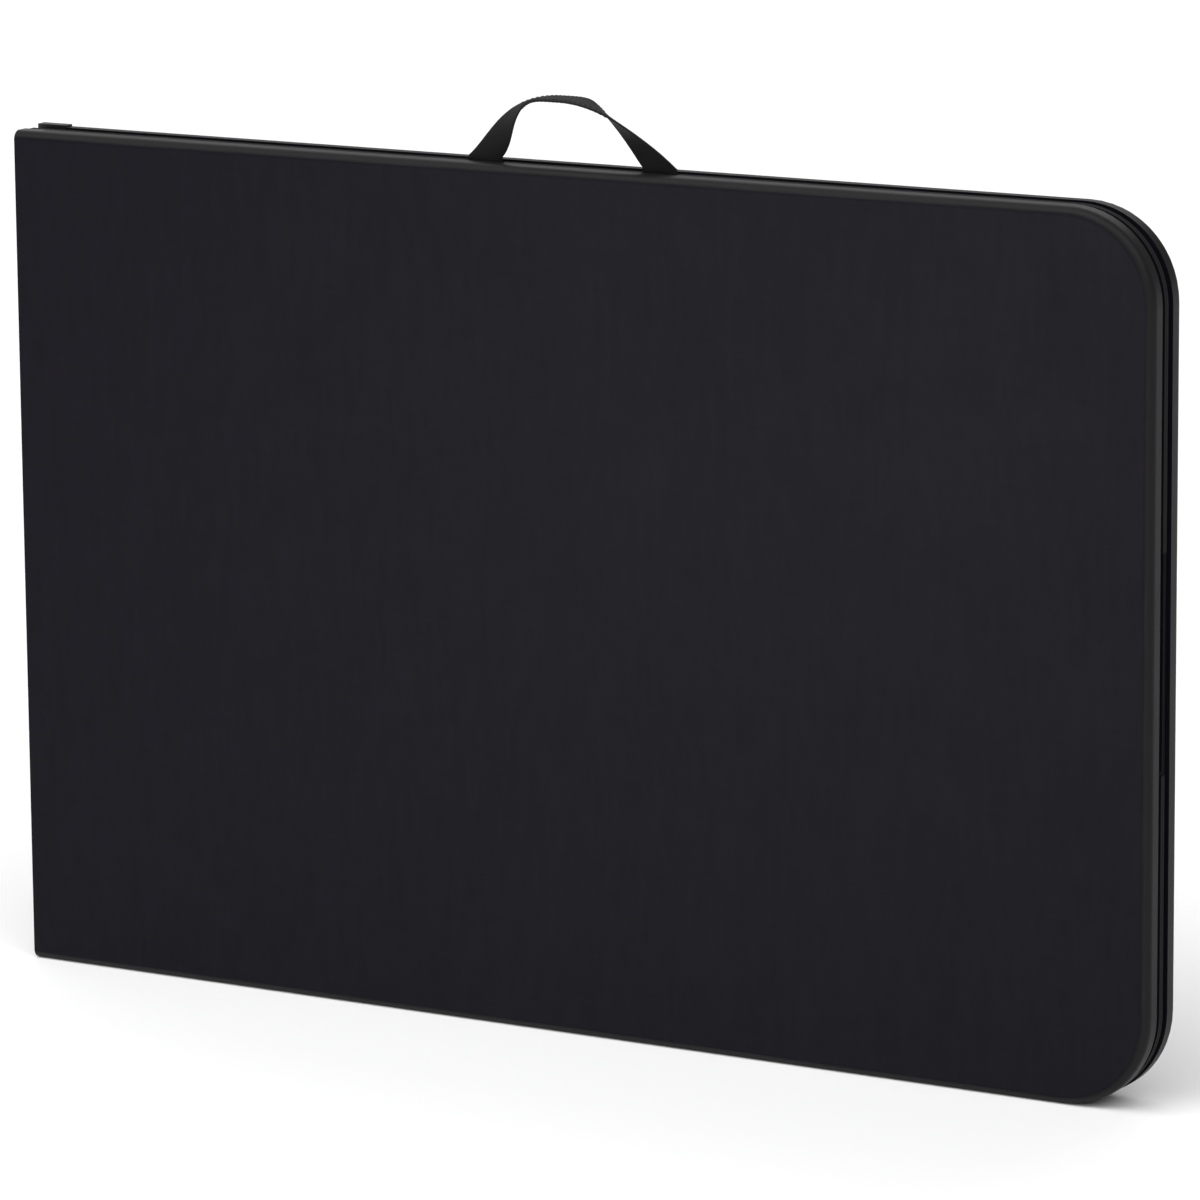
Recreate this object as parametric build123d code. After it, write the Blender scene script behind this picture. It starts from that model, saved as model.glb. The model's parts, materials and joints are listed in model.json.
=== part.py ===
from build123d import *
import math
import os

# Fold-in-half table, shut like a case and standing on one long edge. Millimetres.
# X runs from the fold line (-X) to the outer end (+X), Y through the thickness, Z up.
# Half a lies on the -Y side and half b on the +Y side of the parting plane y = 0.
# "Depth" is the distance from the parting plane into either half.

# --- overall sizes ---
half_length = 900.0          # one half, fold line to outer end
table_width = 610.0          # across the table, the standing height of the shut case
half_depth = 22.5            # one half, parting plane to table top
corner_r = 65.0              # outer corners
skin = 3.2                   # table top
face_round = 6.5             # rounding between table top and rim band

# --- rim section ---
wall = 7.0                   # rim, outside to inside
spine_wall = 4.0             # wall along the fold line
seam_gap = 0.15              # each half's set-back from the parting plane and from the fold plane
lip_depth = 2.7              # mating lip
lip_inset = 0.8
groove_inset = 3.5           # shadow groove between lip and band
band_start = 8.1             # depth where the rim band begins

# --- finger gap and strap slots ---
finger_gap_length = 152.0
finger_gap_depth = 4.0
strap_slot_play = 1.5        # beside the strap
strap_slot_depth = 3.1

# --- stiffening ribs under the table top ---
rib_thickness = 2.5
rib_start = 8.0              # depth of the ribs' free edges
rib_offsets = (60.0, 120.0, 180.0)
rib_spacing = 120.0
rib_end_offset = 215.0
rib_inner_offset = 45.0
rib_margin = 60.0
rib_tube_play = 5.0

# --- fold hinges ---
knuckle_r = 6.0
knuckle_length = 12.0
knuckle_gap = 0.4
knuckle_play = 0.6
hinge_pin_r = 3.0
hinge_bore_play = 0.05
hinge_from_edge = 12.0
leaf_length = 45.0
leaf_start = 0.6
leaf_thickness = 3.0
leaf_seat_margin = 1.0

# --- corner caps at the fold line ---
cap_length_a = 19.0
cap_length_b = 24.0
cap_width = 8.4
cap_pocket = 2.5
cap_proud = 1.5
cap_round = 0.8

# --- side rails ---
rail_wall_gap = 3.5
rail_thickness = 1.5
rail_flange = 12.0
rail_start_depth = 3.3
rail_past_pivot = 25.0
rail_hinge_gap = 5.0

# --- legs ---
leg_pivot_from_end = 110.0
leg_offset = 255.0           # leg centre line from the middle of the width
tube_depth = 9.0             # tube centre line
leg_tube_r = 8.0
leg_tube_wall = 1.1
slide_play = 0.08
upper_leg_length = 380.0
lower_leg_start = 14.0
lower_leg_wall = 1.0
foot_gap = 1.0
foot_length = 10.0
foot_floor = 2.5
tube_end_gap = 0.5
leg_bore_start = 10.0
stretcher_r = 5.0
stretcher_from_pivot = 300.0
bush_length = 14.0
pivot_bolt_r = 4.0
pivot_bolt_play = 0.05
pivot_head_r = 6.5
pivot_head_length = 3.0
bolt_hole_play = 0.1

# --- folding braces ---
brace_from_pivot = 380.0     # table bracket, from the leg pivot
brace_upper_length = 202.0
brace_lower_length = 282.0
brace_tail = 16.0
brace_height = 12.0
brace_thickness = 4.0
brace_middle = 22.0          # brace line from the middle of the width
brace_layer_gap = 3.0
brace_pin_r = 3.5
brace_eye_play = 0.06
stretcher_eye_r = 8.0
collar_width = 4.0
collar_thickness = 2.0
collar_play = 0.4            # beside the strut's eye
collar_bore_play = 0.05
bracket_length = 60.0
bracket_width = 32.0
bracket_thickness = 2.0
cheek_length = 18.0
cheek_thickness = 1.5
cheek_start = 2.5
cheek_play = 0.5
rivet_r = 3.0
rivet_head_r = 5.0
rivet_head_length = 1.6
rivet_face_gap = 0.5
ring_length = 14.0
ring_wall = 1.5
ring_play = 0.4
ring_from_stretcher = 40.0

# --- catch at the outer end ---
stud_r = 2.5
stud_play = 0.5
stud_reach = 6.0
stud_head_r = 5.0
stud_head_length = 2.0
catch_width = 18.0
catch_length = 13.0
catch_start = 1.0
catch_floor = 9.5

# --- carrying strap ---
strap_width = 27.0
strap_thickness = 1.8
strap_start = 1.0            # depth of the strap's face nearest the parting plane
strap_spread = 138.0         # between the two ends' centre lines
strap_rise = 48.0
strap_grip_length = 72.0
strap_grip_width = 20.0
strap_grip_thickness = 3.0
strap_gap = 0.9
strap_tail_length = 36.0
clamp_height = 10.0
clamp_thickness = 0.7
clamp_margin = 4.0

# --- screws ---
screw_head_r = 4.0
screw_head_length = 1.8
screw_shank_r = 1.6
screw_bite = 2.0
boss_bite = 8.0
rail_screw_count = 5

# --- places worked out from the sizes above ---
spine_x = -(half_length - knuckle_r) / 2
outer_x = spine_x + half_length
middle_x = (spine_x + outer_x) / 2
middle_z = table_width / 2
skin_depth = half_depth - skin
pivot_x = outer_x - leg_pivot_from_end
stretcher_x = pivot_x - stretcher_from_pivot
bracket_x = pivot_x - brace_from_pivot
leg_bore_r = leg_tube_r - leg_tube_wall
lower_leg_r = leg_bore_r - slide_play
foot_start = upper_leg_length + foot_gap
rail_web = wall + rail_wall_gap
rail_inner = rail_web + rail_thickness
pivot_tube_end = rail_inner + tube_end_gap
rail_start_x = spine_x + leaf_length + rail_hinge_gap
rail_end_x = pivot_x + rail_past_pivot
flange_depth = skin_depth - rail_thickness
hinge_length = 3 * knuckle_length + 2 * knuckle_gap
strap_back = strap_start + strap_thickness
lower_layer_top = -brace_layer_gap
strap_ends = (middle_x - strap_spread / 2, middle_x + strap_spread / 2)


def block(x_range, depth_range, z_range):
    """Box on half a's side, from ranges along X, depth and Z."""
    size = [abs(r[1] - r[0]) for r in (x_range, depth_range, z_range)]
    x, depth, z = [(r[0] + r[1]) / 2 for r in (x_range, depth_range, z_range)]
    return Pos(x, -depth, z) * Box(*size)


def rod_along_z(x, depth, z_range, radius):
    z = (z_range[0] + z_range[1]) / 2
    return Pos(x, -depth, z) * Cylinder(radius, abs(z_range[1] - z_range[0]))


def rod_along_x(x_range, depth, z, radius):
    x = (x_range[0] + x_range[1]) / 2
    return Pos(x, -depth, z) * Rot(0, 90, 0) * Cylinder(radius, abs(x_range[1] - x_range[0]))


def rod_into_depth(x, depth_range, z, radius):
    depth = (depth_range[0] + depth_range[1]) / 2
    return Pos(x, -depth, z) * Rot(90, 0, 0) * Cylinder(radius, abs(depth_range[1] - depth_range[0]))


def screw(x, seat_depth, z, bite):
    """Pan head on the parting-plane side of a seat, with its shank going deeper."""
    head = rod_into_depth(x, (seat_depth - screw_head_length, seat_depth), z, screw_head_r)
    return head + rod_into_depth(x, (seat_depth, seat_depth + bite), z, screw_shank_r)


def upside_down(shape):
    """The same piece at the other long edge."""
    return mirror(shape, about=Plane.XY.offset(middle_z))


def in_half_b(shape):
    return mirror(shape, about=Plane.XZ)


# ---------------------------------------------------------------- half shells

def panel_prism(inset, spine_inset, depth_range):
    """Prism of the panel's outline, pulled in by inset on three sides."""
    x_range = (spine_x + spine_inset, outer_x - inset)
    plate = block(x_range, depth_range, (inset, table_width - inset))
    outer_edges = plate.edges().filter_by(Axis.Y).sort_by(Axis.X)[-2:]
    return fillet(outer_edges, corner_r - inset)


def rim_and_skin():
    band = panel_prism(0, seam_gap, (band_start, half_depth))
    front = band.faces().sort_by(Axis.Y)[0]
    edges = [e for e in front.edges() if e.center().X > spine_x + 1]
    band = fillet(edges, face_round)
    groove = panel_prism(groove_inset, seam_gap, (lip_depth, band_start))
    lip = panel_prism(lip_inset, seam_gap, (seam_gap, lip_depth))
    hollow = panel_prism(wall, spine_wall, (-1, skin_depth))
    return band + groove + lip - hollow


def rib_spans():
    """X ranges of the lengthwise ribs, broken where the leg tubes cross."""
    stretcher_clear = stretcher_r + rib_tube_play
    pivot_clear = leg_tube_r + rib_tube_play
    return (
        (spine_x + rib_margin, stretcher_x - stretcher_clear),
        (stretcher_x + stretcher_clear, pivot_x - pivot_clear),
        (pivot_x + pivot_clear, outer_x - wall),
    )


def cross_rib_places():
    clear = leg_tube_r + rib_tube_play
    count = math.floor((half_length - rib_margin - wall) / rib_spacing)
    places = [spine_x + rib_margin + i * rib_spacing for i in range(count + 1)]
    return [x for x in places if abs(x - stretcher_x) > clear and abs(x - pivot_x) > clear]


def ribs():
    depth_range = (rib_start, skin_depth)
    pieces = []
    for side in (-1, 1):
        for offset in rib_offsets:
            z = middle_z + side * offset
            z_range = (z - rib_thickness / 2, z + rib_thickness / 2)
            pieces += [block(span, depth_range, z_range) for span in rib_spans()]
        z_range = (middle_z + side * rib_inner_offset, middle_z + side * rib_end_offset)
        for x in cross_rib_places():
            pieces.append(block((x - rib_thickness / 2, x + rib_thickness / 2), depth_range, z_range))
    return pieces


def hinge_seat():
    x_range = (spine_x + spine_wall, spine_x + leaf_length - leaf_seat_margin)
    z_range = (hinge_from_edge + leaf_seat_margin, hinge_from_edge + hinge_length - leaf_seat_margin)
    return block(x_range, (leaf_start + leaf_thickness, skin_depth), z_range)


def hinge_relief():
    """Room in a half's corner for the barrels and the leaf."""
    z_range = (hinge_from_edge - knuckle_play, hinge_from_edge + hinge_length + knuckle_play)
    barrel = rod_along_z(spine_x, 0, z_range, knuckle_r + knuckle_play)
    slot = block((spine_x - 1, spine_x + spine_wall + 1), (-1, leaf_start + leaf_thickness), z_range)
    return barrel + slot


def cap_block(length, proud):
    z_range = (table_width - cap_pocket, table_width + proud)
    return block((spine_x + seam_gap, spine_x + length), (band_start, band_start + cap_width), z_range)


def finger_gap():
    z_range = (middle_z - finger_gap_length / 2, middle_z + finger_gap_length / 2)
    cut = block((outer_x - wall - 1, outer_x + 1), (-finger_gap_depth, finger_gap_depth), z_range)
    ends = cut.edges().filter_by(Axis.X).sort_by(Axis.Y)[:2]
    return fillet(ends, finger_gap_depth - seam_gap)


def strap_slot(x):
    half = strap_width / 2 + strap_slot_play
    z_range = (table_width - wall - 1, table_width + 1)
    return block((x - half, x + half), (-1, strap_slot_depth), z_range)


def strap_boss(x):
    half = strap_width / 2 + clamp_margin
    z_low = table_width - strap_tail_length
    return block((x - half, x + half), (strap_back, skin_depth), (z_low, z_low + clamp_height))


def catch_seat(start):
    x_range = (outer_x - wall - catch_length, outer_x - wall)
    z_range = (middle_z - catch_width / 2, middle_z + catch_width / 2)
    return block(x_range, (start, skin_depth), z_range)


def half_shell(cap_length, catch_depth):
    shell = rim_and_skin()
    for piece in [*ribs(), hinge_seat(), upside_down(hinge_seat()), catch_seat(catch_depth)]:
        shell += piece
    pocket = cap_block(cap_length, 1)
    for cut in (hinge_relief(), pocket):
        shell -= cut
        shell -= upside_down(cut)
    return shell - finger_gap()


def half_shell_a():
    shell = half_shell(cap_length_a, catch_floor)
    for x in strap_ends:
        shell += strap_boss(x)
        shell -= strap_slot(x)
    return shell


def half_shell_b():
    return in_half_b(half_shell(cap_length_b, catch_floor))


# ---------------------------------------------------------------- fold hinges

def knuckle_levels(levels, play=0.0):
    """Z range of each barrel, counted from the lower edge."""
    step = knuckle_length + knuckle_gap
    starts = [hinge_from_edge + i * step for i in levels]
    return [(z - play, z + knuckle_length + play) for z in starts]


def hinge_leaf(own_levels, other_levels):
    z_range = (hinge_from_edge, hinge_from_edge + hinge_length)
    leaf = block((spine_x, spine_x + leaf_length), (leaf_start, leaf_start + leaf_thickness), z_range)
    for z_range in knuckle_levels(other_levels, knuckle_gap):
        leaf -= rod_along_z(spine_x, 0, z_range, knuckle_r + knuckle_play)
    for z_range in knuckle_levels(own_levels):
        leaf += rod_along_z(spine_x, 0, z_range, knuckle_r)
    z_range = (hinge_from_edge - 1, hinge_from_edge + hinge_length + 1)
    return leaf - rod_along_z(spine_x, 0, z_range, hinge_pin_r + hinge_bore_play)


def hinge_leaf_a():
    return hinge_leaf((0, 2), (1,))


def hinge_leaf_b():
    return in_half_b(hinge_leaf((1,), (0, 2)))


def hinge_pin():
    z_range = (hinge_from_edge, hinge_from_edge + hinge_length)
    return rod_along_z(spine_x, 0, z_range, hinge_pin_r)


def leaf_screws():
    reach = leaf_length - 2 * screw_head_r
    z_mid = hinge_from_edge + hinge_length / 2
    spread = hinge_length / 2 - 2 * screw_head_r
    places = [(reach, z_mid - spread), (reach, z_mid + spread), (reach / 2, z_mid)]
    pieces = []
    for x, z in places:
        shank = (leaf_start, leaf_start + boss_bite)
        pieces.append(rod_into_depth(spine_x + x, shank, z, screw_shank_r))
    return pieces


def drilled(shape, screws):
    """Shape with the screws' own room taken out."""
    for piece in screws:
        shape -= piece
    return shape


# ---------------------------------------------------------------- side rails

def side_rail():
    """Steel angle beside the lower long edge."""
    x_range = (rail_start_x, rail_end_x)
    web = block(x_range, (rail_start_depth, skin_depth), (rail_web, rail_inner))
    flange = block(x_range, (flange_depth, skin_depth), (rail_web, rail_inner + rail_flange))
    hole = rod_along_z(pivot_x, tube_depth, (rail_web - 1, rail_inner + 1), pivot_bolt_r + bolt_hole_play)
    return web + flange - hole


def rail_screws():
    z = rail_inner + rail_flange / 2
    first, last = rail_start_x + rail_flange, pivot_x - 2 * rail_flange
    step = (last - first) / (rail_screw_count - 1)
    return [screw(first + i * step, flange_depth, z, rail_thickness + screw_bite) for i in range(rail_screw_count)]


# ---------------------------------------------------------------- legs

def leg_z(side):
    return middle_z + side * leg_offset


def leg_frame():
    """Pivot tube, two legs and a stretcher, welded into one."""
    tube_range = (pivot_tube_end, table_width - pivot_tube_end)
    frame = rod_along_z(pivot_x, tube_depth, tube_range, leg_tube_r)
    for side in (-1, 1):
        frame += rod_along_x((pivot_x - upper_leg_length, pivot_x), tube_depth, leg_z(side), leg_tube_r)
    frame += rod_along_z(stretcher_x, tube_depth, (leg_z(-1), leg_z(1)), stretcher_r)
    for side in (-1, 1):
        bore = (pivot_x - upper_leg_length - 1, pivot_x - leg_bore_start)
        frame -= rod_along_x(bore, tube_depth, leg_z(side), leg_bore_r)
    open_ends = (pivot_tube_end - 1, table_width - pivot_tube_end + 1)
    return frame - rod_along_z(pivot_x, tube_depth, open_ends, leg_bore_r)


def lower_leg(side):
    x_range = (pivot_x - foot_start - foot_length + foot_floor, pivot_x - lower_leg_start)
    outside = rod_along_x(x_range, tube_depth, leg_z(side), lower_leg_r)
    bore = (x_range[0] - 1, x_range[1] + 1)
    return outside - rod_along_x(bore, tube_depth, leg_z(side), lower_leg_r - lower_leg_wall)


def foot_cap(side):
    x_range = (pivot_x - foot_start - foot_length, pivot_x - foot_start)
    cup = rod_along_x(x_range, tube_depth, leg_z(side), leg_tube_r)
    cup = fillet(cup.edges().sort_by(Axis.X)[0], foot_floor / 2)
    seat = (x_range[0] + foot_floor, x_range[1] + 1)
    return cup - rod_along_x(seat, tube_depth, leg_z(side), lower_leg_r)


def pivot_bush():
    z_range = (pivot_tube_end, pivot_tube_end + bush_length)
    bush = rod_along_z(pivot_x, tube_depth, z_range, leg_bore_r)
    bore = (z_range[0] - 1, z_range[1] + 1)
    return bush - rod_along_z(pivot_x, tube_depth, bore, pivot_bolt_r + pivot_bolt_play)


def pivot_bolt():
    head = (rail_web - pivot_head_length, rail_web)
    bolt = rod_along_z(pivot_x, tube_depth, head, pivot_head_r)
    return bolt + rod_along_z(pivot_x, tube_depth, (rail_web, pivot_tube_end + bush_length), pivot_bolt_r)


# ---------------------------------------------------------------- braces

def strut(x_ends, z_range, eye_radius, bore_radius, tail):
    """Flat bar from its eye at x_ends[0] to its far joint, with a tail past it."""
    half = brace_height / 2
    x_range = (x_ends[1] - tail, x_ends[0])
    bar = block(x_range, (tube_depth - half, tube_depth + half), z_range)
    bar += rod_along_z(x_ends[0], tube_depth, z_range, eye_radius)
    bar += rod_along_z(x_ends[1] - tail, tube_depth, z_range, half)
    cut = (z_range[0] - 1, z_range[1] + 1)
    bar -= rod_along_z(x_ends[0], tube_depth, cut, bore_radius)
    return bar


def brace_line(mirror_side):
    """Z of a brace's datum, with its upper strut's layer just above it."""
    return middle_z + mirror_side * brace_middle


def layer(mirror_side, low, high):
    """Z range of something at low to high above the datum, turned over for half b."""
    z = brace_line(mirror_side)
    ends = (z + mirror_side * low, z + mirror_side * high)
    return (min(ends), max(ends))


def brace_upper(mirror_side):
    z_range = layer(mirror_side, 0, brace_thickness)
    ends = (bracket_x, bracket_x - brace_upper_length)
    bar = strut(ends, z_range, brace_height / 2, brace_pin_r + brace_eye_play, brace_tail)
    return bar - rod_along_z(ends[1], tube_depth, (z_range[0] - 1, z_range[1] + 1), rivet_r)


def brace_lower(mirror_side):
    z_range = layer(mirror_side, lower_layer_top - brace_thickness, lower_layer_top)
    ends = (stretcher_x, stretcher_x - brace_lower_length)
    bar = strut(ends, z_range, stretcher_eye_r, stretcher_r + brace_eye_play, 0)
    return bar - rod_along_z(ends[1], tube_depth, (z_range[0] - 1, z_range[1] + 1), rivet_r)


def knuckle_rivet(mirror_side, layer_range, head_outward):
    """Half of the knuckle's rivet, in one strut: shank, outer head and a spacer washer inside."""
    low, high = layer_range
    x = bracket_x - brace_upper_length
    gap_middle = lower_layer_top / 2
    inner = gap_middle + head_outward * rivet_face_gap / 2
    outer_face = high if head_outward > 0 else low
    inner_face = low if head_outward > 0 else high
    rivet = rod_along_z(x, tube_depth, layer(mirror_side, low, high), rivet_r)
    head_end = outer_face + head_outward * rivet_head_length
    rivet += rod_along_z(x, tube_depth, layer(mirror_side, *sorted((outer_face, head_end))), rivet_head_r)
    rivet += rod_along_z(x, tube_depth, layer(mirror_side, *sorted((inner, inner_face))), rivet_head_r)
    return rivet


def upper_knuckle_rivet(mirror_side):
    return knuckle_rivet(mirror_side, (0, brace_thickness), 1)


def lower_knuckle_rivet(mirror_side):
    return knuckle_rivet(mirror_side, (lower_layer_top - brace_thickness, lower_layer_top), -1)


def cheek_ranges():
    """Heights of the bracket's two cheeks above the brace datum."""
    inner = (-cheek_play - cheek_thickness, -cheek_play)
    outer = (brace_thickness + cheek_play, brace_thickness + cheek_play + cheek_thickness)
    return inner, outer


def brace_bracket(mirror_side):
    half = bracket_length / 2
    plate_depth = skin_depth - bracket_thickness
    z_middle = brace_thickness / 2
    plate_range = layer(mirror_side, z_middle - bracket_width / 2, z_middle + bracket_width / 2)
    bracket = block((bracket_x - half, bracket_x + half), (plate_depth, skin_depth), plate_range)
    x_range = (bracket_x - cheek_length / 2, bracket_x + cheek_length / 2)
    for low, high in cheek_ranges():
        bracket += block(x_range, (cheek_start, plate_depth), layer(mirror_side, low, high))
    low, high = cheek_ranges()[0][0], cheek_ranges()[1][1]
    return bracket - rod_along_z(bracket_x, tube_depth, layer(mirror_side, low - 1, high + 1), brace_pin_r)


def brace_pin(mirror_side):
    inner, outer = cheek_ranges()
    pin = rod_along_z(bracket_x, tube_depth, layer(mirror_side, inner[0], outer[1]), brace_pin_r)
    head = layer(mirror_side, outer[1], outer[1] + rivet_head_length)
    return pin + rod_along_z(bracket_x, tube_depth, head, rivet_head_r)


def bracket_screws(mirror_side):
    reach = bracket_length / 2 - screw_head_r - 1
    z = (sum(layer(mirror_side, 0, brace_thickness))) / 2
    plate_depth = skin_depth - bracket_thickness
    return [screw(bracket_x + s * reach, plate_depth, z, bracket_thickness + screw_bite) for s in (-1, 1)]


def lock_ring(mirror_side):
    """Square ring on the lower strut, wide enough to slide over both."""
    x = stretcher_x - ring_from_stretcher
    x_range = (x - ring_length / 2, x + ring_length / 2)
    half = brace_height / 2 + ring_play
    low = lower_layer_top - brace_thickness - ring_play
    high = brace_thickness + ring_play
    window = block((x_range[0] - 1, x_range[1] + 1), (tube_depth - half, tube_depth + half),
                   layer(mirror_side, low, high))
    body = block(x_range, (tube_depth - half - ring_wall, tube_depth + half + ring_wall),
                 layer(mirror_side, low - ring_wall, high + ring_wall))
    return fillet(body.edges().filter_by(Axis.X), ring_wall) - window


def stretcher_collars(mirror_side):
    """Rings on the stretcher that keep the lower strut's eye in its place."""
    low = lower_layer_top - brace_thickness - collar_play
    high = lower_layer_top + collar_play
    pieces = []
    for span in ((low - collar_width, low), (high, high + collar_width)):
        z_range = layer(mirror_side, *span)
        ring = rod_along_z(stretcher_x, tube_depth, z_range, stretcher_r + collar_thickness)
        pieces.append(ring - rod_along_z(stretcher_x, tube_depth, z_range, stretcher_r + collar_bore_play))
    return pieces


# ---------------------------------------------------------------- catch

def catch_x():
    return outer_x - wall - catch_length / 2


def catch_block():
    """Plastic block on half a that the stud pushes into."""
    x_range = (outer_x - wall - catch_length, outer_x - wall)
    z_range = (middle_z - catch_width / 2, middle_z + catch_width / 2)
    body = block(x_range, (catch_start, catch_floor), z_range)
    return body - rod_into_depth(catch_x(), (catch_start - 1, catch_floor + 1), middle_z, stud_r + stud_play)


def catch_stud():
    """Steel stud on half b."""
    foot = (catch_floor - stud_head_length, catch_floor)
    stud = rod_into_depth(catch_x(), (-stud_reach, catch_floor), middle_z, stud_r)
    stud = fillet(stud.edges().sort_by(Axis.Y)[-1], stud_r / 2)
    return in_half_b(stud + rod_into_depth(catch_x(), foot, middle_z, stud_head_r))


# ---------------------------------------------------------------- carrying strap

def strap_loop():
    """The part of the strap above the rim: two leaning ends and a flat grip between them."""
    foot_z = table_width + strap_gap
    top_z = table_width + strap_rise
    depth = (strap_start + strap_back) / 2
    grip_half = strap_grip_length / 2
    grip = block((middle_x - grip_half, middle_x + grip_half),
                 (depth - strap_grip_width / 2, depth + strap_grip_width / 2),
                 (top_z - strap_grip_thickness, top_z))
    for side, x in zip((-1, 1), strap_ends):
        lean = [
            (x + side * strap_width / 2, foot_z),
            (middle_x + side * grip_half, top_z),
            (middle_x + side * (grip_half - strap_width / 2), top_z - strap_grip_thickness),
            (x - side * strap_width / 2, foot_z),
        ]
        outline = Plane.XZ.offset(depth) * Polygon(*lean, align=None)
        grip += extrude(outline, strap_thickness / 2, both=True)
    return grip


def strap_tail(x):
    half = strap_width / 2
    z_range = (table_width - strap_tail_length, table_width)
    return block((x - half, x + half), (strap_start, strap_back), z_range)


def clamp_plate(x):
    half = strap_width / 2 + clamp_margin
    z_low = table_width - strap_tail_length
    return block((x - half, x + half), (strap_start - clamp_thickness, strap_start), (z_low, z_low + clamp_height))


def clamp_screws(x):
    z = table_width - strap_tail_length + clamp_height / 2
    reach = strap_width / 2 - screw_head_r
    shank = (strap_start - clamp_thickness, strap_start + boss_bite)
    return [rod_into_depth(x + s * reach, shank, z, screw_shank_r) for s in (-1, 1)]


# ---------------------------------------------------------------- writing the pieces

def both_edges(pieces):
    """The pieces at the lower edge and their twins at the upper edge."""
    return [*pieces, *[upside_down(p) for p in pieces]]


def build():
    nodes = {}

    rail_fixings = both_edges(rail_screws())
    hinge_fixings = both_edges(leaf_screws())
    strap_fixings = [s for x in strap_ends for s in clamp_screws(x)]
    shells = {"a": half_shell_a(), "b": half_shell_b()}

    for half, side, place in (("a", 1, lambda s: s), ("b", -1, in_half_b)):
        bracket_fixings = [place(s) for s in bracket_screws(side)]
        rail_set = [place(s) for s in rail_fixings]
        hinge_set = [place(s) for s in hinge_fixings]
        shell = drilled(shells[half], [*rail_set, *hinge_set, *bracket_fixings])
        if half == "a":
            shell = drilled(shell, strap_fixings)
        nodes[f"half_shell_{half}"] = [shell]
        leaf = {"a": hinge_leaf_a, "b": hinge_leaf_b}[half]()
        nodes[f"hinge_leaf_{half}_bottom"] = [drilled(leaf, hinge_set)]
        nodes[f"hinge_leaf_{half}_top"] = [drilled(upside_down(leaf), hinge_set)]
        nodes[f"hinge_screws_{half}"] = hinge_set
        nodes[f"side_rail_{half}_bottom"] = [drilled(place(side_rail()), rail_set)]
        nodes[f"side_rail_{half}_top"] = [drilled(place(upside_down(side_rail())), rail_set)]
        nodes[f"rail_screws_{half}"] = rail_set
        nodes[f"leg_frame_{half}"] = [place(leg_frame())]
        nodes[f"pivot_bushes_{half}"] = [place(p) for p in both_edges([pivot_bush()])]
        nodes[f"pivot_bolts_{half}"] = [place(p) for p in both_edges([pivot_bolt()])]
        for level, leg_side in (("bottom", -1), ("top", 1)):
            nodes[f"lower_leg_{half}_{level}"] = [place(lower_leg(leg_side))]
            nodes[f"foot_cap_{half}_{level}"] = [place(foot_cap(leg_side))]
        nodes[f"brace_bracket_{half}"] = [drilled(place(brace_bracket(side)), bracket_fixings)]
        nodes[f"bracket_screws_{half}"] = bracket_fixings
        nodes[f"brace_pin_{half}"] = [place(brace_pin(side))]
        nodes[f"brace_upper_{half}"] = [place(brace_upper(side))]
        nodes[f"brace_lower_{half}"] = [place(brace_lower(side))]
        nodes[f"knuckle_rivet_upper_{half}"] = [place(upper_knuckle_rivet(side))]
        nodes[f"knuckle_rivet_lower_{half}"] = [place(lower_knuckle_rivet(side))]
        nodes[f"lock_ring_{half}"] = [place(lock_ring(side))]
        nodes[f"stretcher_collars_{half}"] = [place(p) for p in stretcher_collars(side)]

    nodes["hinge_pin_bottom"] = [hinge_pin()]
    nodes["hinge_pin_top"] = [upside_down(hinge_pin())]
    nodes["corner_caps_a"] = both_edges([cap_block(cap_length_a, 0)])
    nodes["corner_cap_b_top"] = [in_half_b(cap_block(cap_length_b, cap_proud))]
    nodes["corner_cap_b_bottom"] = [in_half_b(upside_down(cap_block(cap_length_b, 0)))]
    nodes["catch_block"] = [catch_block()]
    nodes["catch_stud"] = [catch_stud()]
    nodes["strap_loop"] = [strap_loop()]
    nodes["strap_tails"] = [drilled(strap_tail(x), strap_fixings) for x in strap_ends]
    nodes["strap_clamps"] = [drilled(clamp_plate(x), strap_fixings) for x in strap_ends]
    nodes["strap_screws"] = strap_fixings
    return nodes


def write(nodes):
    os.makedirs("parts", exist_ok=True)
    for name, pieces in nodes.items():
        solids = [solid for piece in pieces for solid in piece.solids()]
        shape = solids[0] if len(solids) == 1 else Compound(solids)
        export_step(shape, f"parts/{name}.step")


write(build())
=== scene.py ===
import json
import math

import bpy
import numpy as np
from mathutils import Matrix, Vector


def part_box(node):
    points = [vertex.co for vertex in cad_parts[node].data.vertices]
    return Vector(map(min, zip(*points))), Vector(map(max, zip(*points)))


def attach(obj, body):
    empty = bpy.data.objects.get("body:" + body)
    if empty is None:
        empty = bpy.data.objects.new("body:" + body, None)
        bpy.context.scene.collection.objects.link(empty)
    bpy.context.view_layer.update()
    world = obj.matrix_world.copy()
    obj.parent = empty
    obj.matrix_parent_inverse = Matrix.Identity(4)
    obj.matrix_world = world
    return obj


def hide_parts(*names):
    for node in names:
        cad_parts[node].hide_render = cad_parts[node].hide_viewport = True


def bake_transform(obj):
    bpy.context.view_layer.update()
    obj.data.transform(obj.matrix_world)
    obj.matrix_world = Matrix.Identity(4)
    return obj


# Fold-in-half table, shut like a case on one long edge. Metres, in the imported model's frame:
# X from the fold line to the outer end, Y through the thickness, Z up. Half a is on the -Y side.

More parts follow.
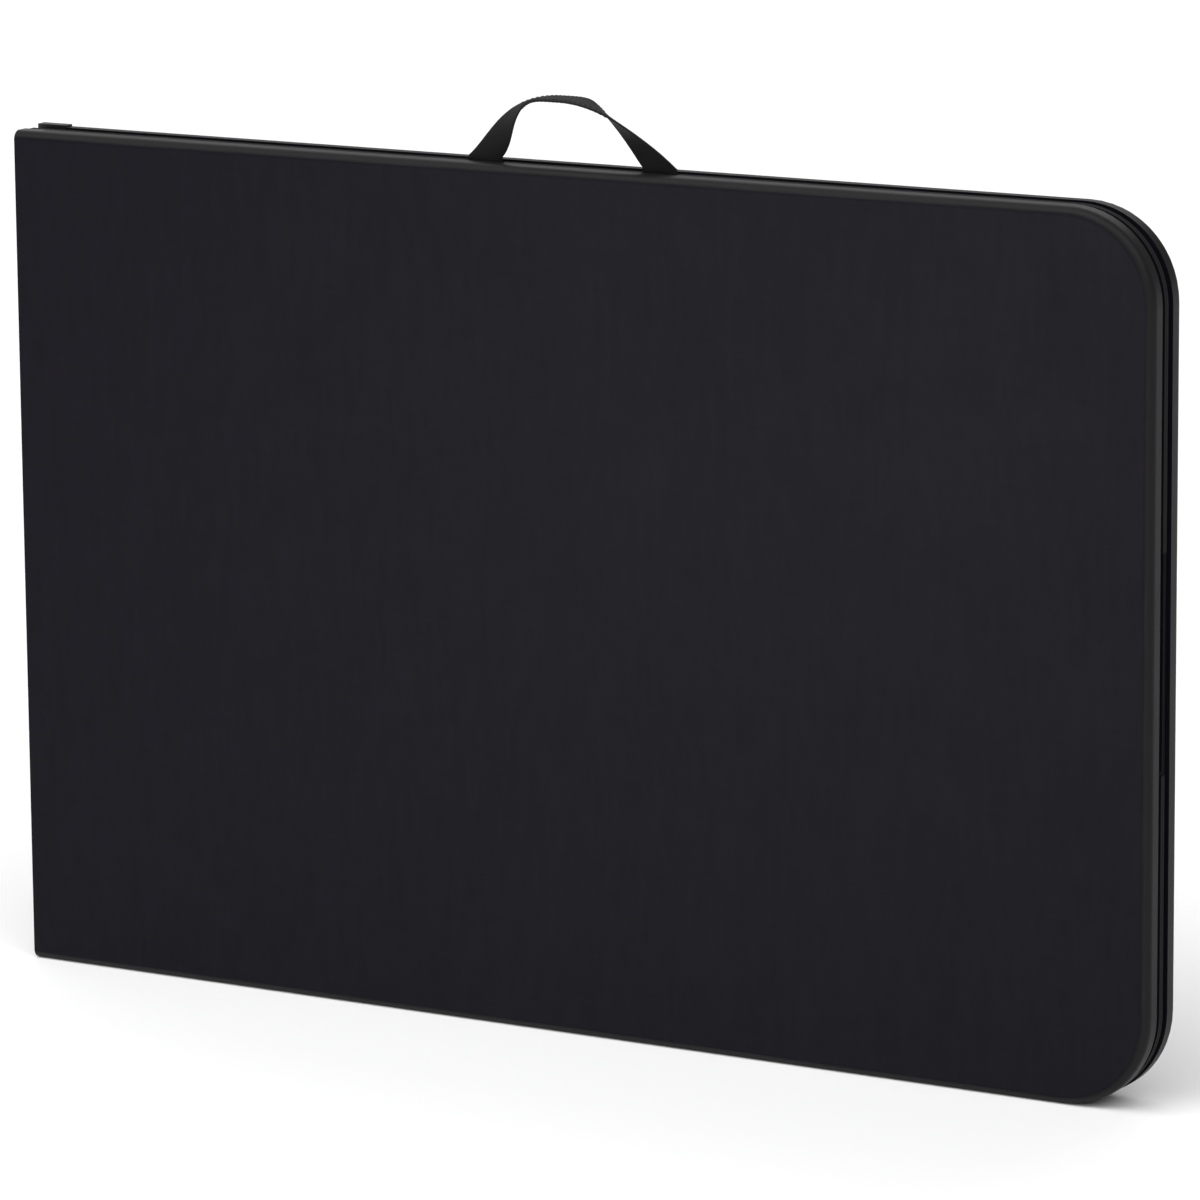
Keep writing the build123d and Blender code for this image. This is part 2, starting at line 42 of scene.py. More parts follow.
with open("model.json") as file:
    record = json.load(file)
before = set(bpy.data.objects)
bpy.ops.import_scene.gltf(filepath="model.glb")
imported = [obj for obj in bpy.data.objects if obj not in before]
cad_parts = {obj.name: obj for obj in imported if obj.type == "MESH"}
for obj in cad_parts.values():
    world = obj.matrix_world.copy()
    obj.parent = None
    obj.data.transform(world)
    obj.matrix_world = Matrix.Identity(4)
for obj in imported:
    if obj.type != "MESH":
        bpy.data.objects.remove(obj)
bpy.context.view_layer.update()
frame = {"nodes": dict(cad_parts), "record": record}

MM = 0.001
ALONG_X = np.array((1.0, 0.0, 0.0))
ALONG_Y = np.array((0.0, 1.0, 0.0))
DEEPER = {"a": -ALONG_Y, "b": ALONG_Y}    # from the parting plane into each half

# --- carrying strap ---
WEBBING_WIDTH = 27 * MM
WEBBING_THICKNESS = 1.8 * MM
WEBBING_SIDES = 36              # points round its section
STRAP_DEPTH = 1.9 * MM          # the webbing's middle, from the parting plane
STRAP_CLEAR = 2 * MM            # each leg stands straight up to this height over the rim
STRAP_TOP = 1.2 * MM            # the grip's middle, under the top of its CAD solid
LEAN_FROM_RIM = np.array(((0, 2), (9, 10), (22, 30))) * MM    # inwards from the foot, up from the rim
LEAN_TO_GRIP = np.array(((38, 1), (52, 0))) * MM              # inwards from the foot, up from the grip
STRAP_FLOP = (-5 * MM, -7 * MM, 0.0)    # the grip leans out of line with its ends
TWIST_STEADY = 0.72             # share of the quarter turn that is steady with height
TWIST_LATE_POWER = 10           # the rest of it comes as this power of height

# --- stitching on the grip ---
THREAD_RADIUS = 0.35 * MM
STITCH_PITCH = 3.2 * MM
STITCH_HALF = 1.1 * MM          # half of a stitch's length
STITCH_INSET = 3 * MM           # from the webbing's edge
STITCHED_FROM, STITCHED_TO = 0.36, 0.64    # shares of the strap's length

# --- screws ---
HEAD_RADIUS = 4.0 * MM
HEAD_LENGTH = 1.8 * MM
SHANK_RADIUS = 1.6 * MM
SHANK_STRAIGHT = 0.7            # share of the shank's length before its point
SHANK_POINT = 0.4               # share of its radius at the point
SCREW_REACH = 9 * MM            # anything nearer than this belongs to the same screw

# A screw head's shape, in shares of its radius across and of its length in height.
HEAD_RINGS = (1.0, 1.0, 0.96, 0.88, 0.76, 0.64, 0.56, 0.5, 0.42, 0.34, 0.26, 0.2, 0.14, 0.07, 0.01)
HEAD_EDGE = 0.72                # height of the dome's edge
DOME_CUT = 0.99                 # the dome stops this near its own equator
RECESS_ARM, RECESS_WALL = 0.13, 0.05       # half the width of the cross's arms; its sloping wall
RECESS_REACH, RECESS_END = 0.58, 0.1       # length of an arm; its sloping end
RECESS_DEPTH, RECESS_RISE = 0.62, 0.5      # depth in the middle; how much less at the head's edge

# --- rubber feet, with profiles in shares of (radius, length) ---
FOOT_RIBS = 4
FOOT_RIB_DEPTH = 0.45 * MM
FOOT_SOLE = ((0.02, 0.06), (0.5, 0.05), (0.66, 0.0), (0.86, 0.0), (0.96, 0.04))
FOOT_RIBS_FROM = 0.12
FOOT_BORE = ((0.87, 1.0), (0.86, 0.4), (0.02, 0.4))

# --- studio ---
ROOM_FILL = 0.2                 # the white room's strength for everything but the camera
FLOOR_RINGS = (0.01, 1.0, 3.0, 9.0, 30.0)    # radii
FLOOR_SIDES = 48
LENS_LENGTH, SENSOR_WIDTH = 206.36, 36.0    # millimetres
CAMERA_PLACE = (2.3601, -4.0432, 1.2617)
CAMERA_AIM = (0.0211, 0.0, 0.3079)
CAMERA_ROLL = math.radians(-0.469)


# ---------------------------------------------------------------- meshes from arrays

def mesh_object(name, points, faces, material):
    """Smooth-shaded mesh from an (n, 3) array of points and lists of corner numbers."""
    mesh = bpy.data.meshes.new(name)
    mesh.from_pydata(points.tolist(), [], faces)
    mesh.polygons.foreach_set("use_smooth", np.ones(len(mesh.polygons), bool))
    mesh.materials.append(material)
    piece = bpy.data.objects.new(name, mesh)
    bpy.context.scene.collection.objects.link(piece)
    return piece


def grid_faces(rows, columns, first=0):
    """Quads of a grid whose columns close into a ring, with a cap over each end row."""
    row, column = np.meshgrid(np.arange(rows - 1), np.arange(columns), indexing="ij")
    beside = (column + 1) % columns
    here, along = row * columns, (row + 1) * columns
    quads = np.stack([here + column, here + beside, along + beside, along + column], -1)
    caps = [np.arange(columns)[::-1], (rows - 1) * columns + np.arange(columns)]
    return [(face + first).tolist() for face in [*quads.reshape(-1, 4), *caps]]


def joined(grids):
    """Several (rows, columns, 3) grids as one array of points and one list of faces."""
    faces, first = [], 0
    for grid in grids:
        faces += grid_faces(grid.shape[0], grid.shape[1], first)
        first += grid.shape[0] * grid.shape[1]
    return np.concatenate([grid.reshape(-1, 3) for grid in grids]), faces


def turned_profile(profile, start, axis, columns):
    """A profile of (radius, height) rows turned about an axis:
    point = start + height * axis + radius * (cos(angle) * side + sin(angle) * other side)."""
    askew = (0.3, 0.5, 0.8)
    side = unit(np.cross(axis, askew))
    angle = np.linspace(0, 2 * math.pi, columns, endpoint=False)
    ring = np.cos(angle)[:, None] * side + np.sin(angle)[:, None] * np.cross(axis, side)
    radius, height = np.array(profile).T
    return start + height[:, None, None] * axis + radius[:, None, None] * ring


def flat_section(width, thickness, columns):
    """Cross-section of webbing, a squared-off ellipse: half the width times cos(angle) to the
    power 0.6, and half the thickness times sin(angle) to the power 0.25, each with its sign kept.
    Its faces are flat and its selvedges round."""
    angle = np.linspace(0, 2 * math.pi, columns, endpoint=False)
    across = np.sign(np.cos(angle)) * np.abs(np.cos(angle)) ** 0.6
    through = np.sign(np.sin(angle)) * np.abs(np.sin(angle)) ** 0.25
    return across * width / 2, through * thickness / 2


def carried(path, across_way, through_way, section):
    """A section carried along a path: point = path + across * its way + through * its way."""
    across, through = section
    return (path[:, None, :] + across[None, :, None] * across_way[:, None, :]
            + through[None, :, None] * through_way[:, None, :])


def unit(vectors):
    """Vectors divided by their own lengths."""
    return vectors / np.linalg.norm(vectors, axis=-1, keepdims=True)


def smooth(share):
    """0 to 1 with flat ends: 3 share^2 - 2 share^3."""
    return share * share * (3 - 2 * share)


def bezier(corners, count):
    """Points of a Bezier curve: the corners weighted by the Bernstein polynomials."""
    t = np.linspace(0, 1, count)[:, None]
    degree = len(corners) - 1
    return sum(math.comb(degree, k) * t ** k * (1 - t) ** (degree - k) * np.array(corner)
               for k, corner in enumerate(corners))


def measure_along(path):
    """Length of a path up to each of its points."""
    steps = np.linalg.norm(np.diff(path, axis=0), axis=1)
    return np.concatenate([[0], np.cumsum(steps)])


def value_at(length, values, spot):
    """Row of values at one length along a path, between its neighbours."""
    return np.array([np.interp(spot, length, values[:, k]) for k in range(3)])


# ---------------------------------------------------------------- shader node helpers

def new_node(tree, kind, inputs=(), **settings):
    """Node with its settings made, and each input linked to a socket or set to a value."""
    node = tree.nodes.new(kind)
    for name, value in settings.items():
        setattr(node, name, value)
    for name, value in dict(inputs).items():
        if isinstance(value, bpy.types.NodeSocket):
            tree.links.new(value, node.inputs[name])
        else:
            node.inputs[name].default_value = value
    return node


def math_node(tree, operation, first, second=0.0):
    return new_node(tree, "ShaderNodeMath", {0: first, 1: second}, operation=operation).outputs[0]


def product(tree, first, second):
    return math_node(tree, "MULTIPLY", first, second)


def total(tree, first, second):
    return math_node(tree, "ADD", first, second)


def ranged(tree, value, low, high, to_low, to_high):
    """value from low..high mapped to to_low..to_high, kept inside that range."""
    inputs = {"Value": value, "From Min": low, "From Max": high, "To Min": to_low, "To Max": to_high}
    return new_node(tree, "ShaderNodeMapRange", inputs).outputs["Result"]


def noise(tree, vector, scale, detail):
    """Cloudy noise from 0 to 1, with features about 1 / scale across."""
    inputs = {"Vector": vector, "Scale": scale, "Detail": detail}
    return new_node(tree, "ShaderNodeTexNoise", inputs).outputs["Fac"]


def scaled_vector(tree, vector, scale):
    """A pattern read at scaled places comes out longest along its smallest scale."""
    return new_node(tree, "ShaderNodeMapping", {"Vector": vector, "Scale": scale}).outputs["Vector"]


def off_parting(tree, vector):
    """How far a vector goes from the parting plane, to either side: the size of its Y."""
    parts = new_node(tree, "ShaderNodeSeparateXYZ", {"Vector": vector}).outputs
    return math_node(tree, "ABSOLUTE", parts["Y"])


def colour_between(tree, factor, first, second):
    """Mix of two colours, each a colour socket or (red, green, blue)."""
    first, second = (end if isinstance(end, bpy.types.NodeSocket) else (*end, 1) for end in (first, second))
    return new_node(tree, "ShaderNodeMix", {0: factor, 6: first, 7: second}, data_type="RGBA").outputs[2]


def new_group(name, inputs, outputs):
    """Empty node group with a Vector input, named float inputs and named float outputs."""
    group = bpy.data.node_groups.new(name, "ShaderNodeTree")
    group.interface.new_socket("Vector", in_out="INPUT", socket_type="NodeSocketVector")
    for socket in inputs:
        group.interface.new_socket(socket, in_out="INPUT", socket_type="NodeSocketFloat")
    for socket in outputs:
        group.interface.new_socket(socket, in_out="OUTPUT", socket_type="NodeSocketFloat")
    return group, group.nodes.new("NodeGroupInput").outputs, group.nodes.new("NodeGroupOutput")


def use_group(tree, group, inputs):
    return new_node(tree, "ShaderNodeGroup", inputs, node_tree=group).outputs


# ---------------------------------------------------------------- effects shared by materials

def fine_grain_group():
    """Moulding or coating grain: close noise for its height, and slow noise for its tone."""
    group, given, out = new_group("fine_grain", ["Size"], ["Height", "Tone"])
    close = noise(group, given["Vector"], given["Size"], 3.0)
    slow = noise(group, given["Vector"], product(group, given["Size"], 0.012), 4.0)
    group.links.new(close, out.inputs["Height"])
    group.links.new(slow, out.inputs["Tone"])
    return group


def linen_group():
    """Pressed linen: threads of uneven thickness run up and along, crossing at right angles.
    Wider slubs run both ways as well, most of them up."""
    group, given, out = new_group("pressed_linen", ["Pitch"], ["Height", "Slub"])
    threads_up, threads_along = (1, 0.06, 0.04), (0.04, 0.06, 1)
    slubs_up, slubs_along = (1, 0.1, 0.16), (0.2, 0.1, 1)
    threads = [noise(group, scaled_vector(group, given["Vector"], stretch), given["Pitch"], 2.0)
               for stretch in (threads_up, threads_along)]
    slub_size = product(group, given["Pitch"], 0.35)
    up, along = (noise(group, scaled_vector(group, given["Vector"], stretch), slub_size, 3.0)
                 for stretch in (slubs_up, slubs_along))
    slubs = total(group, product(group, up, 0.65), product(group, along, 0.35))
    group.links.new(math_node(group, "MAXIMUM", *threads), out.inputs["Height"])
    group.links.new(slubs, out.inputs["Slub"])
    return group


def handling_wear_group():
    """Scuffs from handling: sparse upright scratches inside slow patches."""
    group, given, out = new_group("handling_wear", ["Size", "Amount"], ["Mask"])
    scratch = noise(group, scaled_vector(group, given["Vector"], (1, 1, 0.12)), given["Size"], 5.0)
    patch = noise(group, given["Vector"], product(group, given["Size"], 0.08), 2.0)
    lines = ranged(group, scratch, 0.62, 0.72, 0.0, 1.0)
    patches = ranged(group, patch, 0.5, 0.7, 0.0, 1.0)
    mask = product(group, lines, patches)
    group.links.new(product(group, mask, given["Amount"]), out.inputs["Mask"])
    return group


GRAIN = fine_grain_group()
LINEN = linen_group()
WEAR = handling_wear_group()


# ---------------------------------------------------------------- materials

def new_material(name, **values):
    """Material with a Principled shader; values are its constant sockets."""
    material = bpy.data.materials.new(name + "_finish")
    material.use_nodes = True
    tree = material.node_tree
    shader = tree.nodes["Principled BSDF"]
    for socket, value in values.items():
        shader.inputs[socket.replace("_", " ")].default_value = value
    place = tree.nodes.new("ShaderNodeTexCoord")
    return material, tree, shader, place.outputs


def finish_surface(tree, shader, colour, roughness, height, strength, distance):
    """Gives a shader its colour and roughness, and a bump from a height."""
    bump = new_node(tree, "ShaderNodeBump",
                    {"Height": height, "Strength": strength, "Distance": distance})
    tree.links.new(colour, shader.inputs["Base Color"])
    tree.links.new(roughness, shader.inputs["Roughness"])
    tree.links.new(bump.outputs["Normal"], shader.inputs["Normal"])


def moulded_top():
    """Blow-moulded plastic: linen pressed into the flat faces, and satin rims with a light grain, whose
    base colour is set lighter than the faces' as a painted highlight.
    The bend between face and rim is rubbed lighter, and the rims are duller near the parting plane."""
    material, tree, shader, place = new_material("moulded_top", IOR=1.45, Specular_IOR_Level=0.10)
    spot = place["Object"]
    linen = use_group(tree, LINEN, {"Vector": spot, "Pitch": 620.0})
    grain = use_group(tree, GRAIN, {"Vector": spot, "Size": 900.0})
    wear = use_group(tree, WEAR, {"Vector": spot, "Size": 240.0, "Amount": 0.35})

    # 1 on the faces, 0 on the rims. The bend is 4 * flat * (1 - flat), so it peaks half way.
    flat = ranged(tree, off_parting(tree, place["Normal"]), 0.9, 0.985, 0.0, 1.0)
    bend = product(tree, flat, ranged(tree, flat, 0.0, 1.0, 4.0, 0.0))
    rubbed = product(tree, bend, ranged(tree, grain["Tone"], 0.45, 0.65, 0.0, 0.8))
    worn = total(tree, rubbed, wear["Mask"])
    slub = product(tree, ranged(tree, linen["Slub"], 0.36, 0.64, 0.1, 0.55), flat)

    face = colour_between(tree, total(tree, slub, worn), (0.0032, 0.0027, 0.0054), (0.0062, 0.0054, 0.0092))
    # The rims' base colour is lighter than the faces' as a painted highlight, standing in for the light the
    # rim bands catch; the wear mask lightens it further.
    rim = colour_between(tree, worn, (0.0125, 0.0115, 0.0118), (0.0240, 0.0225, 0.0225))
    colour = colour_between(tree, flat, rim, face)

    satin = ranged(tree, flat, 0.0, 1.0, 0.36, 0.5)
    uneven = math_node(tree, "SUBTRACT", product(tree, grain["Tone"], 0.12), product(tree, slub, 0.02))
    near_parting = ranged(tree, off_parting(tree, spot), 3 * MM, 8 * MM, 0.35, 0.0)
    roughness = total(tree, total(tree, satin, uneven), near_parting)

    height = total(tree, product(tree, linen["Height"], flat), product(tree, grain["Height"], 0.25))
    finish_surface(tree, shader, colour, roughness, height, 0.35, 0.25 * MM)
    return material


def black_trim():
    """Injection-moulded black plastic with a fine spark-eroded grain and grey scuffs."""
    material, tree, shader, place = new_material("black_trim", IOR=1.47)
    spot = place["Object"]
    grain = use_group(tree, GRAIN, {"Vector": spot, "Size": 1600.0})
    wear = use_group(tree, WEAR, {"Vector": spot, "Size": 500.0, "Amount": 0.8})
    colour = colour_between(tree, wear["Mask"], (0.006, 0.006, 0.0065), (0.030, 0.030, 0.031))
    roughness = ranged(tree, grain["Tone"], 0.3, 0.7, 0.32, 0.48)
    finish_surface(tree, shader, colour, roughness, grain["Height"], 0.3, 0.2 * MM)
    return material


def zinc_steel():
    """Bright zinc plate on pressed steel: rolled streaks along X and a faint spangle."""
    material, tree, shader, place = new_material("zinc_steel", Metallic=1.0)
    spot = place["Object"]
    rolled = noise(tree, scaled_vector(tree, spot, (0.05, 1, 1)), 900.0, 4.0)
    spangle = new_node(tree, "ShaderNodeTexVoronoi", {"Vector": spot, "Scale": 140.0}).outputs["Color"]
    shade = new_node(tree, "ShaderNodeSeparateColor", {"Color": spangle}).outputs["Red"]
    wear = use_group(tree, WEAR, {"Vector": spot, "Size": 380.0, "Amount": 1.0})
    tone = math_node(tree, "SUBTRACT", shade, wear["Mask"])
    colour = colour_between(tree, tone, (0.40, 0.41, 0.42), (0.56, 0.57, 0.58))
    roughness = ranged(tree, rolled, 0.3, 0.7, 0.26, 0.44)
    finish_surface(tree, shader, colour, roughness, rolled, 0.12, 0.1 * MM)
    return material


def leg_steel():
    """Grey powder coat: orange peel and slightly worn patches."""
    material, tree, shader, place = new_material("leg_steel", IOR=1.5, Coat_Weight=0.15,
                                                 Coat_Roughness=0.25)
    spot = place["Object"]
    peel = use_group(tree, GRAIN, {"Vector": spot, "Size": 520.0})
    wear = use_group(tree, WEAR, {"Vector": spot, "Size": 300.0, "Amount": 1.0})
    tone = total(tree, product(tree, peel["Tone"], 0.5), wear["Mask"])
    colour = colour_between(tree, tone, (0.095, 0.096, 0.101), (0.165, 0.166, 0.172))
    roughness = ranged(tree, peel["Tone"], 0.3, 0.7, 0.34, 0.46)
    finish_surface(tree, shader, colour, roughness, peel["Height"], 0.2, 0.3 * MM)
    return material


def foot_rubber():
    """Matt black rubber with grey dust on it in slow patches."""
    material, tree, shader, place = new_material("foot_rubber", IOR=1.5, Specular_IOR_Level=0.3)
    grain = use_group(tree, GRAIN, {"Vector": place["Object"], "Size": 1400.0})
    dust = ranged(tree, grain["Tone"], 0.45, 0.7, 0.0, 1.0)
    colour = colour_between(tree, dust, (0.009, 0.009, 0.009), (0.030, 0.029, 0.028))
    roughness = ranged(tree, grain["Tone"], 0.3, 0.7, 0.68, 0.85)
    finish_surface(tree, shader, colour, roughness, grain["Height"], 0.4, 0.2 * MM)
    return material


def webbing():
    """Woven polypropylene, on a UV map in millimetres across and along the strap: ribs across it
    times yarns along it, with a little fuzz."""
    material, tree, shader, place = new_material("webbing", Specular_IOR_Level=0.2, Sheen_Weight=0.03,
                                                 Sheen_Roughness=0.4, Sheen_Tint=(0.5, 0.5, 0.52, 1))
    uv = place["UV"]
    ribs = new_node(tree, "ShaderNodeTexWave", {"Vector": uv, "Scale": 0.36, "Distortion": 0.4},
                    wave_type="BANDS", bands_direction="Y").outputs["Fac"]
    yarns = new_node(tree, "ShaderNodeTexWave", {"Vector": uv, "Scale": 0.28, "Distortion": 0.3},
                     wave_type="BANDS", bands_direction="X").outputs["Fac"]
    fuzz = noise(tree, uv, 3.0, 5.0)
    weave = product(tree, ribs, yarns)
    height = total(tree, weave, product(tree, fuzz, 0.3))
    colour = colour_between(tree, weave, (0.0016, 0.0016, 0.0017), (0.0052, 0.0052, 0.0055))
    roughness = ranged(tree, fuzz, 0.3, 0.7, 0.55, 0.75)
    finish_surface(tree, shader, colour, roughness, height, 0.7, 0.4 * MM)
    return material


def screw_steel():
    """Zinc-plated screws with a fine grain and darker scuffs."""
    material, tree, shader, place = new_material("screw_steel", Metallic=1.0)
    spot = place["Object"]
    grain = use_group(tree, GRAIN, {"Vector": spot, "Size": 2600.0})
    wear = use_group(tree, WEAR, {"Vector": spot, "Size": 900.0, "Amount": 1.0})
    colour = colour_between(tree, wear["Mask"], (0.50, 0.50, 0.51), (0.30, 0.29, 0.28))
    roughness = ranged(tree, grain["Tone"], 0.3, 0.7, 0.22, 0.4)
    finish_surface(tree, shader, colour, roughness, grain["Height"], 0.2, 0.1 * MM)
    return material


FINISHES = {make.__name__: make() for make in
            (moulded_top, black_trim, zinc_steel, leg_steel, foot_rubber, webbing, screw_steel)}


def finish_cad_nodes():
    """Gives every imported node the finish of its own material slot."""
    for part in frame["record"]["subparts"]:
        data = frame["nodes"][part["node"]].data
        data.materials.clear()
        data.materials.append(FINISHES[part["material_slot"]])


# ---------------------------------------------------------------- carrying strap

def strap_path():
    """Centre line of the strap, and its ways across and through. Each leg goes straight up from its
    clamp, then leans in along a Bezier curve and ends level at the grip. The grip flops out of line
    by a smooth step of height. The way across turns from X at the rim to Y at the grip, as the
    webbing twists: partly steady with height, and partly as a high power of height."""
    low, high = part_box("strap_loop")
    tail_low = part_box("strap_tails")[0].z
    middle = (low.x + high.x) / 2
    rim = low.z
    clear = rim + STRAP_CLEAR
    foot = (high.x - low.x) / 2 - WEBBING_WIDTH / 2
    top = high.z - STRAP_TOP
    tail = bezier([(-foot, 0, tail_low), (-foot, 0, clear)], 14)
    corners = [(inwards - foot, 0, rim + up) for inwards, up in LEAN_FROM_RIM]
    corners += [(inwards - foot, 0, top + up) for inwards, up in LEAN_TO_GRIP]
    lean = bezier([*corners, (0, 0, top)], 60)
    left = np.concatenate([tail[:-1], lean])
    right = left[::-1][1:] * (-1, 1, 1)
    path = np.concatenate([left, right]) + (middle, -STRAP_DEPTH, 0)
    rise = np.clip((path[:, 2] - clear) / (top - clear), 0, 1)
    path += smooth(rise)[:, None] * STRAP_FLOP
    run = unit(np.gradient(path, axis=0))
    twist = TWIST_STEADY * rise + (1 - TWIST_STEADY) * rise ** TWIST_LATE_POWER
    turn = twist[:, None] * math.pi / 2
    across = np.cos(turn) * ALONG_X - np.sin(turn) * ALONG_Y
    return path, across, unit(np.cross(across, run))


def strap_uv(piece, path, section):
    """UV in millimetres: across the webbing, and along its path."""
    along = np.repeat(measure_along(path), len(section[0])) / MM
    across = np.tile(section[0], len(path)) / MM
    corner = np.zeros(len(piece.data.loops), int)
    piece.data.loops.foreach_get("vertex_index", corner)
    layer = piece.data.uv_layers.new(name="UVMap")
    layer.data.foreach_set("uv", np.stack([across, along], -1)[corner].ravel())


def carrying_strap():
    """The webbing's flat section carried along the strap's path, from one clamp to the other."""
    path, across, through = strap_path()
    section = flat_section(WEBBING_WIDTH, WEBBING_THICKNESS, WEBBING_SIDES)
    points, faces = joined([carried(path, across, through, section)])
    strap = mesh_object("carrying_strap", points, faces, FINISHES["webbing"])
    strap_uv(strap, path, section)
    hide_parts("strap_loop", "strap_tails")
    return strap


def thread_bead(start, end):
    """One stitch from start to end: a turned bead whose radius is the thread's times the square
    root of 1 - (2 share - 1)^4, which rounds its ends."""
    size = np.linalg.norm(end - start)
    share = np.linspace(0, 1, 7)
    radius = THREAD_RADIUS * np.sqrt(np.maximum(1 - (2 * share - 1) ** 4, 0.05))
    return turned_profile(np.stack([radius, size * share], -1), start, (end - start) / size, 6)


def strap_stitching():
    """Two rows of lockstitch along the grip, on both of its faces."""
    path, across, through = strap_path()
    length = measure_along(path)
    grip = length[(length > length[-1] * STITCHED_FROM) & (length < length[-1] * STITCHED_TO)]
    beads = []
    for edge in (-1, 1):
        for face in (-1, 1):
            for spot in np.arange(grip[0], grip[-1], STITCH_PITCH):
                sideways = edge * (WEBBING_WIDTH / 2 - STITCH_INSET) * value_at(length, across, spot)
                proud = face * WEBBING_THICKNESS / 2 * value_at(length, through, spot)
                start, end = (value_at(length, path, spot + half) for half in (-STITCH_HALF, STITCH_HALF))
                beads.append(thread_bead(start + sideways + proud, end + sideways + proud))
    points, faces = joined(beads)
    stitches = mesh_object("strap_stitching", points, faces, FINISHES["webbing"])
    stitches.data.uv_layers.new(name="UVMap")
    return stitches


def rides_strap(piece):
    """Bakes the piece's placement into its mesh; the piece is left on no body."""
    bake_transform(piece)


# ---------------------------------------------------------------- screws

def screw_places(node):
    """Lowest and highest corner of each screw of a node: points within a screw's reach of each
    other, seen along the depth, are one screw."""
    points = np.array([v.co for v in frame["nodes"][node].data.vertices], float)
    places = []
    while len(points):
        near = np.linalg.norm(points[:, (0, 2)] - points[0, (0, 2)], axis=1) < SCREW_REACH
        places.append((points[near].min(0), points[near].max(0)))
        points = points[~near]
    return places


def screw_head(centre, outward):
    """Pan head on a grid of radius and angle. Its height is a low dome, less a cross recess:
    two arms at right angles that get shallower towards their ends."""
    radius = np.array(HEAD_RINGS)
    angle = np.linspace(0, 2 * math.pi, 64, endpoint=False)
    far, turn = np.meshgrid(radius, angle, indexing="ij")
    dome = HEAD_EDGE + (1 - HEAD_EDGE) * np.sqrt(1 - (radius * DOME_CUT) ** 2)
    dome[0] = 0.0
    arm = np.minimum(np.abs(far * np.cos(turn)), np.abs(far * np.sin(turn)))
    inside = np.clip((RECESS_ARM - arm) / RECESS_WALL, 0, 1)
    short_of_end = np.clip((RECESS_REACH - far) / RECESS_END, 0, 1)
    recess = inside * short_of_end * (RECESS_DEPTH - RECESS_RISE * far)
    height = (dome[:, None] - recess) * HEAD_LENGTH
    ring = np.cos(turn)[..., None] * ALONG_X + np.sin(turn)[..., None] * np.cross(ALONG_X, outward)
    return centre + (far * HEAD_RADIUS)[..., None] * ring + height[..., None] * outward


def screws(node, half):
    """Cross-recessed pan head screws where a node has its plain ones, each with a pointed shank
    as deep as the plain one."""
    deeper = DEEPER[half]
    grids = []
    for low, high in screw_places(node):
        shallow, deep = sorted((low @ deeper, high @ deeper))
        middle = (low + high) / 2
        on_axis = middle - (middle @ deeper) * deeper
        seat = on_axis + (shallow + HEAD_LENGTH) * deeper
        grids.append(screw_head(seat, -deeper))
        reach = deep - shallow - HEAD_LENGTH
        shank = [(SHANK_RADIUS, 0), (SHANK_RADIUS, reach * SHANK_STRAIGHT),
                 (SHANK_RADIUS * SHANK_POINT, reach)]
        grids.append(turned_profile(shank, seat, deeper, 12))
    points, faces = joined(grids)
    piece = mesh_object(f"cross_head_{node}", points, faces, FINISHES["screw_steel"])
    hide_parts(node)
    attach(piece, body_of(node))


def body_of(node):
    return next(body for body, nodes in frame["record"]["behaviour"]["bodies"].items() if node in nodes)


# ---------------------------------------------------------------- rubber feet

def ribbed_foot(node):
    """Cup turned about the leg, with a dished sole and a bore for the leg. The radius of its side
    is less by a raised cosine of the height, which leaves rings round it."""
    low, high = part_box(node)
    radius = (high.z - low.z) / 2
    length = high.x - low.x
    sole = np.array((low.x, (low.y + high.y) / 2, (low.z + high.z) / 2))
    along = np.linspace(FOOT_RIBS_FROM, 1, 41)
    groove = FOOT_RIB_DEPTH / radius * (0.5 - 0.5 * np.cos(2 * math.pi * FOOT_RIBS * along))
    side = np.stack([1 - groove, along], -1)
    profile = np.concatenate([FOOT_SOLE, side, FOOT_BORE]) * (radius, length)
    points, faces = joined([turned_profile(profile, sole, ALONG_X, 40)])
    foot = mesh_object(f"ribbed_{node}", points, faces, FINISHES["foot_rubber"])
    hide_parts(node)
    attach(foot, body_of(node))


# ---------------------------------------------------------------- studio

def looking(place, aim, roll=0.0):
    """Matrix of an object at place whose -Z looks at aim, turned by roll about its line of sight."""
    way = Vector(aim) - Vector(place)
    turned = way.to_track_quat("-Z", "Y").to_matrix().to_4x4()
    return Matrix.Translation(place) @ turned @ Matrix.Rotation(roll, 4, "Z")


def set_up(name, data, matrix):
    """Object for a lamp or a camera, put in its place."""
    thing = bpy.data.objects.new(name, data)
    thing.matrix_world = matrix
    bpy.context.scene.collection.objects.link(thing)
    return thing


def area_light(name, place, aim, size, power):
    """Rectangular lamp that only lights, and isn't seen itself."""
    light = bpy.data.lights.new(name, "AREA")
    light.shape = "RECTANGLE"
    light.size, light.size_y = size
    light.energy = power
    set_up(name, light, looking(place, aim)).visible_camera = False


def soft_sun(name, direction, spread, strength):
    """Even light from one direction, as wide as spread, so that its shadows are soft."""
    light = bpy.data.lights.new(name, "SUN")
    light.energy, light.angle = strength, math.radians(spread)
    set_up(name, light, looking(direction, (0, 0, 0)))


